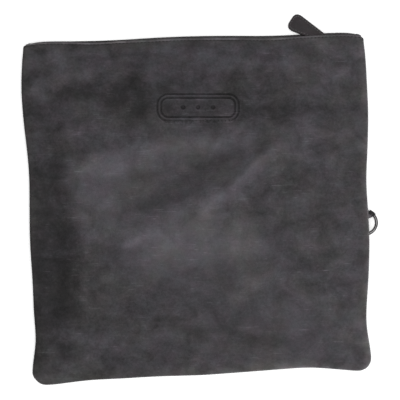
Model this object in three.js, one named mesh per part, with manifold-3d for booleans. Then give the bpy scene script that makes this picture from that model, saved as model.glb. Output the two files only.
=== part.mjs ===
// A flat square leather shoulder bag lying on its back: two soft panels sewn and turned along the
// sides and the bottom, a zip set inside the top edge with a leather pull, and one D-ring held in
// the right side seam by a leather loop. Millimetres, +Z up, +Y towards the zip.
import * as THREE from 'three';
import { mergeVertices } from 'three/addons/utils/BufferGeometryUtils.js';
import Module from 'manifold-3d';

const wasm = await Module();
wasm.setup();

// Driving sizes
const bagWidth = 320;
const bagHeight = 320;
const leather = 1.4;
const gap = 0.3;
const allowance = 4;
const hemDepth = 16;
const cornerRadius = 13;
const cornerFlatness = 1.5;
const topCornerRadius = 8;

// Heights above the surface it lies on
const edgeRise = 5.4;
const mouthRise = 0.8;
const riseReach = 45;
const mouthSideReach = 20;
const backRoll = 1.2;
const frontRoll = 3;
const puffRise = 9.6;
const puffReach = 150;
const puffCurve = 2.2;
const foldReach = 20;
const mouthFront = 13.6;
const mouthReach = 50;
const mouthSideDrop = 30;

// Zip
const zipDepth = 10.5;
const zipStart = 0.08;
const zipEnd = 0.92;
const tapeEnd = 0.95;
const tapeThickness = 0.7;
const tapeLap = 7;
const tapeGap = 0.5;
const chainWidth = 4;
const chainThickness = 2.4;
const sliderLength = 9;
const sliderWidth = 5.8;
const sliderPlate = 1.2;
const postLength = 1.5;
const archHeight = 1.6;
const archBar = 1;
const archWidth = 1.7;
const archFoot = 1.2;
const archStart = -6;
const archEnd = 1;

// Leather pull and the wire link that holds it
const pullLength = 35;
const pullTipWidth = 17.6;
const pullRootWidth = 10;
const pullThickness = 1.7;
const pullCorner = 6.2;
const pullRootCorner = 3.4;
const pullHole = 2;
const pullHoleInset = 3.2;
const pullTilt = Math.atan(0.27);
const pullAngle = THREE.MathUtils.degToRad(148.8);
const pullTip = new THREE.Vector2(89.5, 178.3);
const pullRest = 185.6;
const linkWire = 1;
const linkHeight = 3.8;

// D-ring and its loop
const ringWire = 3.3;
const ringRadius = 10.8;
const ringLeg = 3.7;
const ringCorner = 3;
const ringCentre = new THREE.Vector3(159.8, -13, 2.4);
const ringTilt = 0.0632;
const loopWidth = 5.6;
const loopLeather = 0.45;
const loopSlack = 0.28;
const loopTongue = 1.4;
const loopAngle = THREE.MathUtils.degToRad(54);
const loopSlant = Math.tan(THREE.MathUtils.degToRad(33));
const loopReach = 12;
const loopBend = 9;
const loopTug = 0.1;
const loopCurl = 1.5;
const loopWrap = THREE.MathUtils.degToRad(104);
const loopThroat = 3.4;

// Outline of the front, as a row for each bend: at is the share of the way along that edge.
const leftEdge = [
  { at: 0, x: -154.8 },
  { at: 0.05, x: -154.2 },
  { at: 0.137, x: -150.5 },
  { at: 0.2, x: -152.6 },
  { at: 0.3, x: -153.8 },
  { at: 0.41, x: -156.2 },
  { at: 0.5, x: -156.8 },
  { at: 0.63, x: -157.4 },
  { at: 0.81, x: -163.5 },
  { at: 0.9, x: -164.5 },
  { at: 1, x: -162.6 },
];
const rightEdge = [
  { at: 0, x: 166 },
  { at: 0.06, x: 164.9 },
  { at: 0.135, x: 160.6 },
  { at: 0.19, x: 160.5 },
  { at: 0.25, x: 162.1 },
  { at: 0.38, x: 163.5 },
  { at: 0.47, x: 162.3 },
  { at: 0.57, x: 160.3 },
  { at: 0.65, x: 161.5 },
  { at: 0.77, x: 162.3 },
  { at: 0.85, x: 161.1 },
  { at: 0.92, x: 160 },
  { at: 1, x: 157.7 },
];
const bottomEdge = [
  { at: 0, y: -166.4 },
  { at: 0.06, y: -165.6 },
  { at: 0.12, y: -163 },
  { at: 0.18, y: -160.8 },
  { at: 0.26, y: -159.7 },
  { at: 0.34, y: -158.1 },
  { at: 0.41, y: -157.2 },
  { at: 0.5, y: -156.4 },
  { at: 0.58, y: -154.6 },
  { at: 0.65, y: -152.9 },
  { at: 0.74, y: -150.7 },
  { at: 0.82, y: -149.2 },
  { at: 0.93, y: -151.8 },
  { at: 1, y: -153.6 },
];
const topEdge = [
  { at: 0, y: 155.8 },
  { at: 0.07, y: 156.7 },
  { at: 0.15, y: 156.7 },
  { at: 0.21, y: 156.1 },
  { at: 0.3, y: 158.4 },
  { at: 0.44, y: 161.1 },
  { at: 0.6, y: 161.9 },
  { at: 0.7, y: 161.3 },
  { at: 0.76, y: 161.3 },
  { at: 0.82, y: 162.3 },
  { at: 0.88, y: 163.4 },
  { at: 0.94, y: 163.8 },
  { at: 1, y: 163.9 },
];
const backStandsOut = [
  { at: 0, y: 0.5 },
  { at: 0.05, y: 1.7 },
  { at: 0.7, y: 2 },
  { at: 0.95, y: 2.9 },
  { at: 1, y: 1.4 },
];

// Soft folds of the front: a ridge or a dent along a slanted line, in the bag's own plane.
const folds = [
  { x: 18, y: 19, length: 95, width: 12, angle: 34, height: 3 },
  { x: 0, y: 38, length: 60, width: 11, angle: 33, height: -2.2 },
  { x: -55, y: -31, length: 20, width: 14, angle: 10, height: 1.6 },
  { x: -84, y: 32, length: 30, width: 24, angle: 60, height: 1.8 },
  { x: -134, y: -5, length: 90, width: 13, angle: 92, height: -2.2 },
  { x: 5, y: -72, length: 60, width: 13, angle: 4, height: -1.8 },
  { x: 60, y: -45, length: 40, width: 16, angle: 12, height: 1.4 },
  { x: 100, y: 95, length: 45, width: 14, angle: -28, height: 1.3 },
  { x: -100, y: 105, length: 40, width: 12, angle: 22, height: -1.3 },
  { x: 60, y: -112, length: 70, width: 12, angle: 8, height: 1.4 },
];

function smooth(share) {
  const t = THREE.MathUtils.clamp(share, 0, 1);
  return t * t * (3 - 2 * t);
}

// A smooth curve through a table's rows, with its value at one share of the way.
function along(table, column, at) {
  const curve = new THREE.SplineCurve(table.map((row) => new THREE.Vector2(row.at, row[column])));
  const last = table.length - 1;
  let row = 0;
  while (row < last - 1 && table[row + 1].at < at) row += 1;
  const share = (at - table[row].at) / (table[row + 1].at - table[row].at);
  return curve.getPoint((row + THREE.MathUtils.clamp(share, 0, 1)) / last).y;
}

// A point of the bag's plane from its shares of the way across and up.
function inPlane(across, up, standsOut) {
  const top = along(topEdge, 'y', across) + (standsOut ? along(backStandsOut, 'y', across) : 0);
  return new THREE.Vector2(
    THREE.MathUtils.lerp(along(leftEdge, 'x', up), along(rightEdge, 'x', up), across),
    THREE.MathUtils.lerp(along(bottomEdge, 'y', across), top, up),
  );
}

function foldHeight(x, y) {
  let height = 0;
  for (const fold of folds) {
    const turn = THREE.MathUtils.degToRad(fold.angle);
    const run = (x - fold.x) * Math.cos(turn) + (y - fold.y) * Math.sin(turn);
    const off = (y - fold.y) * Math.cos(turn) - (x - fold.x) * Math.sin(turn);
    height += fold.height * Math.exp(-((run / fold.length) ** 2) - (off / fold.width) ** 2);
  }
  return height;
}

// The turned edge of a panel: the seam allowance, then half a turn of leather.
const rollCentre = frontRoll + leather / 2;
const backFloor = leather / 2 + edgeRise;
const backSeam = backFloor + 2 * backRoll;
const frontSeam = backSeam + leather + gap;
const frontTop = frontSeam + 2 * frontRoll;
const turnSteps = 4;

function turnedEdge(radius, seamHeight, direction) {
  const rows = [{ inset: rollCentre + allowance, height: seamHeight }];
  for (let step = 0; step <= turnSteps; step += 1) {
    const angle = (Math.PI * step) / turnSteps;
    rows.push({
      inset: rollCentre - radius * Math.sin(angle),
      height: seamHeight + direction * radius * (1 - Math.cos(angle)),
    });
  }
  rows.push({ inset: cornerRadius, height: seamHeight + direction * 2 * radius });
  return rows;
}

// Heights of the middle of the leather, inside the turned edges. side, low and top are the
// distances from the nearer side, the bottom and the top edge.
function frontHeight(side, low, top, x, y) {
  const swell = (reach) => 1 - (1 - THREE.MathUtils.clamp(reach / puffReach, 0, 1)) ** puffCurve;
  const puff = puffRise * swell(side - rollCentre) * swell(low - rollCentre) * swell(top);
  const drop = frontTop + leather / 2 - mouthFront;
  const mouth = drop * smooth((side - rollCentre) / mouthSideDrop) * (1 - smooth(top / mouthReach));
  const inside = smooth((Math.min(side, low) - rollCentre) / foldReach) * smooth(top / foldReach);
  return frontTop + puff - mouth + inside * foldHeight(x, y);
}

function backHeight(side, low, top) {
  const sideReach = THREE.MathUtils.lerp(mouthSideReach, riseReach, smooth(top / mouthReach));
  const flat = smooth((side - rollCentre) / sideReach) * smooth((low - rollCentre) / riseReach);
  const mouth = 1 - (mouthRise / edgeRise) * (1 - smooth(top / riseReach));
  return leather / 2 + edgeRise * (1 - flat * mouth);
}

const hemRows = [hemDepth, hemDepth / 2, 0];
const hemStep = bagHeight - hemDepth - leather;

// A grid of points over one panel. Rings of points follow the turned edge round the low corners.
function panelGrid({ edge, across: halfAcross, up: inner, standsOut, heightAt }) {
  const corner = edge.length - 1;
  const columns = 2 * (corner + halfAcross.length);
  const rows = corner + inner.length + hemRows.length;
  const point = (i, j) => {
    const n = Math.min(i, columns - i);
    let side = n <= corner ? edge[n].inset : halfAcross[n - corner - 1];
    let low = j <= corner ? edge[j].inset : bagHeight;
    let top = bagHeight;
    if (j > corner && j <= corner + inner.length) {
      low = inner[j - corner - 1];
      top = bagHeight - low;
    }
    if (j > corner + inner.length) {
      top = hemRows[j - corner - inner.length - 1];
      low = bagHeight - top;
    }
    const ring = Math.min(n, j, corner);
    if (n < corner && j < corner) {
      const sum = (corner - n) ** cornerFlatness + (corner - j) ** cornerFlatness;
      const reach = sum ** (1 / cornerFlatness);
      const radius = cornerRadius - edge[ring].inset;
      side = cornerRadius - (radius * (corner - n)) / reach;
      low = cornerRadius - (radius * (corner - j)) / reach;
    }
    const across = i <= columns / 2 ? side / bagWidth : 1 - side / bagWidth;
    const place = inPlane(across, low / bagHeight, standsOut);
    const bend = Math.max(0, topCornerRadius - side);
    const cut = topCornerRadius - Math.sqrt(topCornerRadius ** 2 - bend ** 2);
    place.y -= cut * Math.max(0, 1 - top / hemDepth);
    const height = ring < corner - 1 ? edge[ring].height : heightAt(side, low, top, place.x, place.y);
    return new THREE.Vector3(place.x, place.y, height);
  };
  const turned = (i, j) => j > corner + inner.length && i > corner && i < columns - corner;
  return { columns, rows, point, turned };
}

// Points across a run, evenly spread, without its first one.
function spread(from, to, cells) {
  return Array.from({ length: cells }, (_, cell) => from + ((to - from) * (cell + 1)) / cells);
}

// A closed wall over a grid of points: above and below are the depths of its two skins.
function wall({ columns, rows, point }, above, below) {
  const points = [];
  for (let i = 0; i <= columns; i += 1) {
    points.push([]);
    for (let j = 0; j <= rows; j += 1) points[i].push(point(i, j));
  }
  const facing = (i, j) => {
    const normal = new THREE.Vector3();
    for (const di of [-1, 1]) {
      for (const dj of [-1, 1]) {
        if (!points[i + di] || !points[i][j + dj]) continue;
        const run = points[i + di][j].clone().sub(points[i][j]).multiplyScalar(di);
        const rise = points[i][j + dj].clone().sub(points[i][j]).multiplyScalar(dj);
        normal.add(run.cross(rise).normalize());
      }
    }
    return normal.normalize();
  };
  const geometry = new THREE.BoxGeometry(columns, rows, 1, columns, rows, 1);
  const position = geometry.getAttribute('position');
  for (let k = 0; k < position.count; k += 1) {
    const i = Math.round(position.getX(k) + columns / 2);
    const j = Math.round(position.getY(k) + rows / 2);
    const depth = position.getZ(k) > 0 ? above(i, j) : -below(i, j);
    const moved = points[i][j].clone().addScaledVector(facing(i, j), depth);
    position.setXYZ(k, moved.x, moved.y, moved.z);
  }
  return bare(geometry);
}

function bare(geometry) {
  geometry.deleteAttribute('normal');
  geometry.deleteAttribute('uv');
  return mergeVertices(geometry, 1e-4);
}

function solidOf(geometry) {
  const merged = bare(geometry);
  const vertProperties = new Float32Array(merged.getAttribute('position').array);
  const triVerts = new Uint32Array(merged.index.array);
  return new wasm.Manifold(new wasm.Mesh({ numProp: 3, vertProperties, triVerts }));
}

function geometryOf(solid) {
  const mesh = solid.getMesh();
  const geometry = new THREE.BufferGeometry();
  geometry.setAttribute('position', new THREE.BufferAttribute(mesh.vertProperties, 3));
  geometry.setIndex(new THREE.BufferAttribute(mesh.triVerts, 1));
  return geometry;
}

// A closed ring of round wire along a closed flat path.
function wireRing(path, wire, steps, sides) {
  const geometry = new THREE.TorusGeometry(2, 1, sides, steps);
  const position = geometry.getAttribute('position');
  const uv = geometry.getAttribute('uv');
  for (let k = 0; k < position.count; k += 1) {
    const at = uv.getX(k) % 1;
    const round = 2 * Math.PI * uv.getY(k);
    const place = path.getPointAt(at);
    const heading = path.getTangentAt(at);
    const out = (wire / 2) * Math.cos(round);
    position.setXYZ(k, place.x + heading.y * out, place.y - heading.x * out, (wire / 2) * Math.sin(round));
  }
  return bare(geometry);
}

const colours = {
  leather: { color: 0x434145, roughness: 0.78, metalness: 0 },
  pull: { color: 0x4b4649, roughness: 0.7, metalness: 0 },
  tape: { color: 0x17171a, roughness: 0.9, metalness: 0 },
  metal: { color: 0x3c3c3e, roughness: 0.3, metalness: 1 },
};

const bag = new THREE.Group();

function addPiece(name, geometry, look, parent = bag) {
  const mesh = new THREE.Mesh(geometry, new THREE.MeshStandardMaterial(colours[look]));
  mesh.name = name;
  parent.add(mesh);
  return mesh;
}

// Front and back panels, with a pocket in their seam for the tongue of the ring's loop.
const seamHeight = (backSeam + frontSeam) / 2;
const loopStart = new THREE.Vector2(
  ringCentre.x + (ringRadius - loopTug - loopReach) * Math.cos(loopAngle),
  ringCentre.y + (ringRadius - loopTug - loopReach) * Math.sin(loopAngle),
);

// The fold follows the curve of the ring, and the strip leaves its seam aslant.
function bendLoop(geometry) {
  const places = geometry.getAttribute('position');
  const arc = ringRadius - loopTug;
  for (let i = 0; i < places.count; i += 1) {
    const out = places.getX(i) - loopReach + arc;
    const bent = Math.max(out, arc - loopCurl);
    const turn = places.getY(i) / arc;
    places.setX(i, bent * Math.cos(turn) + out - bent - arc + loopReach);
    places.setY(i, bent * Math.sin(turn) + loopSlant * (bent - out));
  }
}

function loopPocket() {
  const length = loopBend + loopTongue + 2 * gap;
  const width = loopWidth + 2 * gap * Math.hypot(1, loopSlant);
  const pocket = new THREE.BoxGeometry(length, width, loopTongue + 2 * gap);
  pocket.translate(length / 2 - gap, 0, 0);
  bendLoop(pocket);
  pocket.rotateZ(loopAngle);
  pocket.translate(loopStart.x, loopStart.y, seamHeight);
  return solidOf(pocket);
}

function frontPanel() {
  const grid = panelGrid({
    edge: turnedEdge(frontRoll, frontSeam, 1),
    across: spread(cornerRadius, bagWidth / 2, 11),
    up: spread(cornerRadius, hemStep, 20),
    standsOut: false,
    heightAt: frontHeight,
  });
  const inside = (i, j) => (grid.turned(i, j) ? 1.5 : 0.5) * leather;
  return geometryOf(solidOf(wall(grid, () => leather / 2, inside)).subtract(loopPocket()));
}

function backPanel() {
  const flat = rollCentre + riseReach;
  const grid = panelGrid({
    edge: turnedEdge(backRoll, backSeam, -1),
    across: [...spread(cornerRadius, flat, 3), ...spread(flat, bagWidth / 2, 3)],
    up: [
      ...spread(cornerRadius, flat, 3),
      ...spread(flat, bagHeight - riseReach, 5),
      ...spread(bagHeight - riseReach, hemStep, 2),
    ],
    standsOut: true,
    heightAt: backHeight,
  });
  const inside = (i, j) => (grid.turned(i, j) ? 1.5 : 0.5) * leather;
  return geometryOf(solidOf(wall(grid, inside, () => leather / 2)).subtract(loopPocket()));
}

addPiece('front_panel', frontPanel(), 'leather');
addPiece('back_panel', backPanel(), 'leather');

// The zip lies between the two hems. Its line is a share of the way across and a depth below the edge.
function mouthAt(across, depth) {
  const side = Math.min(across, 1 - across) * bagWidth;
  const low = bagHeight - depth;
  const place = inPlane(across, low / bagHeight, false);
  const under = frontHeight(side, low, depth, place.x, place.y) - 1.5 * leather;
  const over = backHeight(side, low, depth) + 1.5 * leather;
  return { place, under, over, middle: (under + over) / 2 };
}

const zipCells = 26;

function zipTape(up) {
  const point = (i, j) => {
    const across = THREE.MathUtils.lerp(zipStart, tapeEnd, i / zipCells);
    const depth = j < 2 ? zipDepth : zipDepth + tapeLap;
    const mouth = mouthAt(across, depth);
    const lap = tapeGap + tapeThickness / 2;
    const hem = up ? mouth.under - lap : mouth.over + lap;
    const chainSide = mouth.middle + (up ? 1 : -1) * (chainWidth / 2 + gap);
    return new THREE.Vector3(mouth.place.x, mouth.place.y, j === 0 ? chainSide : hem);
  };
  const half = () => tapeThickness / 2;
  return wall({ columns: zipCells, rows: 2, point }, half, half);
}

function zipChain() {
  const point = (i, j) => {
    const mouth = mouthAt(THREE.MathUtils.lerp(zipStart, zipEnd, i / zipCells), zipDepth);
    return new THREE.Vector3(mouth.place.x, mouth.place.y, mouth.middle + (0.5 - j) * chainWidth);
  };
  const half = () => chainThickness / 2;
  return wall({ columns: zipCells, rows: 1, point }, half, half);
}

// The slider's plates straddle the end of the chain and join past it; its arch faces out of the mouth.
const sliderPlace = mouthAt(zipEnd, zipDepth);
const plateFace = chainThickness / 2 + gap;
const sliderFace = plateFace + sliderPlate;

function zipSlider() {
  const extruded = (shape, width) => {
    const geometry = new THREE.ExtrudeGeometry(shape, { depth: width, bevelEnabled: false });
    geometry.translate(0, 0, -width / 2);
    return geometry;
  };
  const plate = (width, low, high) => {
    const geometry = new THREE.BoxGeometry(sliderLength, high - low, width);
    geometry.translate(1.5 * postLength + (gap - sliderLength) / 2, (low + high) / 2, 0);
    return solidOf(geometry);
  };
  const outer = plate(sliderWidth, plateFace, sliderFace);
  const inner = plate(chainWidth, -sliderFace, -plateFace);
  const post = new THREE.BoxGeometry(postLength, 2 * sliderFace - sliderPlate, chainWidth - 2 * gap);
  post.translate(postLength, 0, 0);
  const archBase = sliderFace - sliderPlate / 2;
  const archTop = sliderFace + archHeight;
  const arch = new THREE.Shape();
  arch.moveTo(archStart, archBase);
  arch.lineTo(archStart, archTop + archBar);
  arch.lineTo(archEnd, archTop + archBar);
  arch.lineTo(archEnd, archBase);
  arch.lineTo(archEnd - archFoot, archBase);
  arch.lineTo(archEnd - archFoot, archTop);
  arch.lineTo(archStart + archFoot, archTop);
  arch.lineTo(archStart + archFoot, archBase);
  arch.closePath();
  const body = outer.add(inner).add(solidOf(post)).add(solidOf(extruded(arch, archWidth)));
  return geometryOf(body);
}

addPiece('zip_tape_front', zipTape(true), 'tape');
addPiece('zip_tape_back', zipTape(false), 'tape');
addPiece('zip_chain', zipChain(), 'metal');
const slider = addPiece('zip_slider', zipSlider(), 'metal');
slider.position.set(sliderPlace.place.x, sliderPlace.place.y, sliderPlace.middle);

// The pull widens from its root to its tip, and leans on the back hem down to the surface.
function pullOutline() {
  const root = pullRootWidth / 2;
  const tip = pullTipWidth / 2;
  const shape = new THREE.Shape();
  shape.moveTo(pullRootCorner - pullLength, -root);
  shape.lineTo(-pullCorner, -tip);
  shape.quadraticCurveTo(0, -tip, 0, -tip + pullCorner);
  shape.lineTo(0, tip - pullCorner);
  shape.quadraticCurveTo(0, tip, -pullCorner, tip);
  shape.lineTo(pullRootCorner - pullLength, root);
  shape.quadraticCurveTo(-pullLength, root, -pullLength, root - pullRootCorner);
  shape.lineTo(-pullLength, pullRootCorner - root);
  shape.quadraticCurveTo(-pullLength, -root, pullRootCorner - pullLength, -root);
  const hole = new THREE.Path();
  hole.absarc(pullHoleInset - pullLength, 0, pullHole / 2, 0, 2 * Math.PI, true);
  shape.holes.push(hole);
  return shape;
}

const leaning = new THREE.Group();
leaning.position.set(0, pullRest, 0);
leaning.rotation.x = -pullTilt;
bag.add(leaning);
const pullGeometry = new THREE.ExtrudeGeometry(pullOutline(), {
  depth: pullThickness,
  bevelEnabled: false,
  curveSegments: 6,
});
const pull = addPiece('pull_tab', bare(pullGeometry), 'pull', leaning);
pull.position.set(pullTip.x, (pullTip.y - pullRest) / Math.cos(pullTilt), 0);
pull.rotation.z = pullAngle;

// The wire link passes through the pull's hole and round one foot of the slider's arch.
function stadium(length, height) {
  const end = height / 2;
  const path = new THREE.Path();
  path.moveTo(-length / 2 + end, -end);
  path.lineTo(length / 2 - end, -end);
  path.absarc(length / 2 - end, 0, end, -Math.PI / 2, Math.PI / 2, false);
  path.lineTo(-length / 2 + end, end);
  path.absarc(-length / 2 + end, 0, end, Math.PI / 2, (3 * Math.PI) / 2, false);
  return path;
}

bag.updateMatrixWorld(true);
const holePlace = new THREE.Vector3(pullHoleInset - pullLength, 0, pullThickness / 2);
pull.localToWorld(holePlace);
const archInside = archStart + archFoot + 1.6 * linkWire;
const archPlace = slider.localToWorld(new THREE.Vector3(archInside, sliderFace + archHeight / 2, 0));
const linkRun = archPlace.clone().sub(holePlace);
const link = addPiece(
  'pull_link',
  wireRing(stadium(linkRun.length(), linkHeight), linkWire, 28, 8),
  'metal',
);
link.position.copy(holePlace).add(archPlace).multiplyScalar(0.5);
const linkAlong = linkRun.clone().normalize();
const linkSide = linkAlong.clone().cross(new THREE.Vector3(0, 0, 1)).normalize();
const linkUp = linkSide.clone().cross(linkAlong);
link.quaternion.setFromRotationMatrix(new THREE.Matrix4().makeBasis(linkAlong, linkUp, linkSide));

// The D-ring lies half under the edge; its arc is held by the loop and its bar touches the surface.
function ringPath() {
  const path = new THREE.Path();
  path.absarc(0, 0, ringRadius, -Math.PI / 2, Math.PI / 2, false);
  path.lineTo(-ringLeg + ringCorner, ringRadius);
  path.absarc(-ringLeg + ringCorner, ringRadius - ringCorner, ringCorner, Math.PI / 2, Math.PI, false);
  path.lineTo(-ringLeg, -ringRadius + ringCorner);
  path.absarc(-ringLeg + ringCorner, -ringRadius + ringCorner, ringCorner, Math.PI, 1.5 * Math.PI, false);
  path.closePath();
  return path;
}

const ring = addPiece('d_ring', wireRing(ringPath(), ringWire, 44, 10), 'metal');
ring.position.copy(ringCentre);
const ringAxis = new THREE.Vector3(Math.sin(loopAngle), -Math.cos(loopAngle), 0);
ring.quaternion.setFromAxisAngle(ringAxis, ringTilt);

// A strip of leather folded round the ring: its profile lies along the way out of the seam.
function loopProfile() {
  const held = ringCentre.z + ringRadius * ringTilt;
  const fold = new THREE.Vector2(loopReach, held - seamHeight);
  const slope = Math.atan2(fold.y, fold.x - loopBend);
  const eye = ringWire / 2 + loopSlack;
  const outer = eye + loopLeather;
  const shape = new THREE.Shape();
  shape.moveTo(0, -loopTongue / 2);
  shape.lineTo(loopBend - loopSlack, -loopTongue / 2);
  shape.absarc(fold.x, fold.y, outer, slope - loopWrap, slope + loopWrap, false);
  shape.lineTo(loopBend + loopSlack, loopTongue / 2);
  shape.lineTo(0, loopTongue / 2);
  shape.closePath();
  const apex = new THREE.Vector2(Math.cos(slope), Math.sin(slope)).multiplyScalar(-loopThroat).add(fold);
  const hole = new THREE.Path();
  hole.absarc(fold.x, fold.y, eye, slope + loopWrap, slope - loopWrap, true);
  hole.lineTo(apex.x, apex.y);
  hole.closePath();
  shape.holes.push(hole);
  return shape;
}

const loopGeometry = new THREE.ExtrudeGeometry(loopProfile(), {
  depth: loopWidth,
  steps: 4,
  bevelEnabled: false,
  curveSegments: 10,
});
loopGeometry.translate(0, 0, -loopWidth / 2);
loopGeometry.rotateX(Math.PI / 2);
bendLoop(loopGeometry);
const loop = addPiece('ring_loop', bare(loopGeometry), 'leather');
loop.position.set(loopStart.x, loopStart.y, seamHeight);
loop.rotation.z = loopAngle;

export default bag;
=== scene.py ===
# A flat square leather shoulder bag lying on its back: two soft panels, a zip with a leather
# pull in the top edge, and a D-ring in the side seam. Blender 4.5, metres, +Z up, +Y to the zip.
import math

import bmesh
import bpy
from mathutils import Matrix, Vector, noise
from mathutils.bvhtree import BVHTree


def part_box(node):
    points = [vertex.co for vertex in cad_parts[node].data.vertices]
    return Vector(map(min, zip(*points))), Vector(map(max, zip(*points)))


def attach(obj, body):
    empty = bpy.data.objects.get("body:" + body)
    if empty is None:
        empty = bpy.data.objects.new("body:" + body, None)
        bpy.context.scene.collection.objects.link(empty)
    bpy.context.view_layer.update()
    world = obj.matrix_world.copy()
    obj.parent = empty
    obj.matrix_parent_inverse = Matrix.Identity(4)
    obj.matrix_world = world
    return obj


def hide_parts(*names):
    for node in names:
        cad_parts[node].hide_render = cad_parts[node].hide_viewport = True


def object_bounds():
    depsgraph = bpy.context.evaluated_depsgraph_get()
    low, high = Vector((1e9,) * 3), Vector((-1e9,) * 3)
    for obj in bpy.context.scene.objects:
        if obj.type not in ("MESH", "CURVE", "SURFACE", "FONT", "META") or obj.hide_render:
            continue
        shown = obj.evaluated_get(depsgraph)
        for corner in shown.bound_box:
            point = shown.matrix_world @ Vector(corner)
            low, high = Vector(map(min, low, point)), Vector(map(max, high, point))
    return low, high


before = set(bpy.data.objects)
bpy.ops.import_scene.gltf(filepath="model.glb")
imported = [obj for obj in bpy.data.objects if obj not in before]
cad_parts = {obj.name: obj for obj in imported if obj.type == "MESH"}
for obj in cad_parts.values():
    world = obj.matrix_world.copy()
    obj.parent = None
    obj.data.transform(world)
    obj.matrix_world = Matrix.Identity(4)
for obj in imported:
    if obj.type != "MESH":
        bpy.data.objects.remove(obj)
cadLow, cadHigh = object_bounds()
mm = 0.001
print("frame loaded")


# camera, straight above the bag

view = {"distance": 1.7, "width": 0.376, "height": 0.012, "x": 3.8 * mm, "y": 8.5 * mm}
camera = bpy.data.cameras.new("camera")
camera.sensor_width = 36
camera.lens = 36 * (view["distance"] - view["height"]) / view["width"]
cameraObject = bpy.data.objects.new("camera", camera)
cameraObject.location = (view["x"], view["y"], view["distance"])
bpy.context.scene.collection.objects.link(cameraObject)
bpy.context.scene.camera = cameraObject
bpy.context.scene.view_settings.view_transform = "Standard"


# shared helpers

cleaning = {"weld": 0.01 * mm, "joinAngle": 0.7, "flat": 0.985}


def smooth(share):
    t = min(max(share, 0.0), 1.0)
    return t * t * (3 - 2 * t)


# a soft step: span is where it starts and how long it is
def rise(value, span):
    return smooth((value - span[0]) / span[1])


def copyOfNode(name):
    bm = bmesh.new()
    bm.from_mesh(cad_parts[name].data)
    bmesh.ops.remove_doubles(bm, verts=bm.verts, dist=cleaning["weld"])
    angle = cleaning["joinAngle"]
    bmesh.ops.join_triangles(bm, faces=bm.faces, angle_face_threshold=angle, angle_shape_threshold=angle)
    return bm


# faces that look along flatFacing stay flat, and all others are shaded smooth
def addPiece(bm, name, materials, node=None, flatFacing=None):
    for face in bm.faces:
        face.smooth = not (flatFacing and abs(face.normal.dot(flatFacing)) > cleaning["flat"])
    mesh = bpy.data.meshes.new(name)
    bm.to_mesh(mesh)
    bm.free()
    if "custom_normal" in mesh.attributes:  # the solid's own normals don't fit the finer skin
        mesh.attributes.remove(mesh.attributes["custom_normal"])
    for material in materials:
        mesh.materials.append(material)
    piece = bpy.data.objects.new(name, mesh)
    bpy.context.scene.collection.objects.link(piece)
    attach(piece, "root")
    if node:
        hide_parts(node)
    return piece


def subdivide(piece, levels):
    modifier = piece.modifiers.new("Smooth skin", "SUBSURF")
    modifier.levels = levels
    modifier.render_levels = levels
    depsgraph = bpy.context.evaluated_depsgraph_get()
    finished = bpy.data.meshes.new_from_object(piece.evaluated_get(depsgraph))
    piece.modifiers.clear()
    piece.data = finished


def sharpEdges(bm, degrees):
    limit = math.radians(degrees)
    return [e for e in bm.edges if e.is_manifold and e.calc_face_angle(0) > limit]


def roundEdges(bm, edges, offset, segments):
    return bmesh.ops.bevel(
        bm, geom=edges, offset=offset, offset_type="OFFSET", segments=segments, profile=0.5,
        affect="EDGES", material=-1, clamp_overlap=True, loop_slide=True,
    )


def treeOf(piece):
    vertices = [v.co.copy() for v in piece.data.vertices]
    return BVHTree.FromPolygons(vertices, [tuple(p.vertices) for p in piece.data.polygons])


def addAttribute(piece, name, valueAt):
    layer = piece.data.attributes.new(name, "FLOAT", "POINT")
    layer.data.foreach_set("value", [valueAt(v.co, v.normal) for v in piece.data.vertices])


# materials

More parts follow.
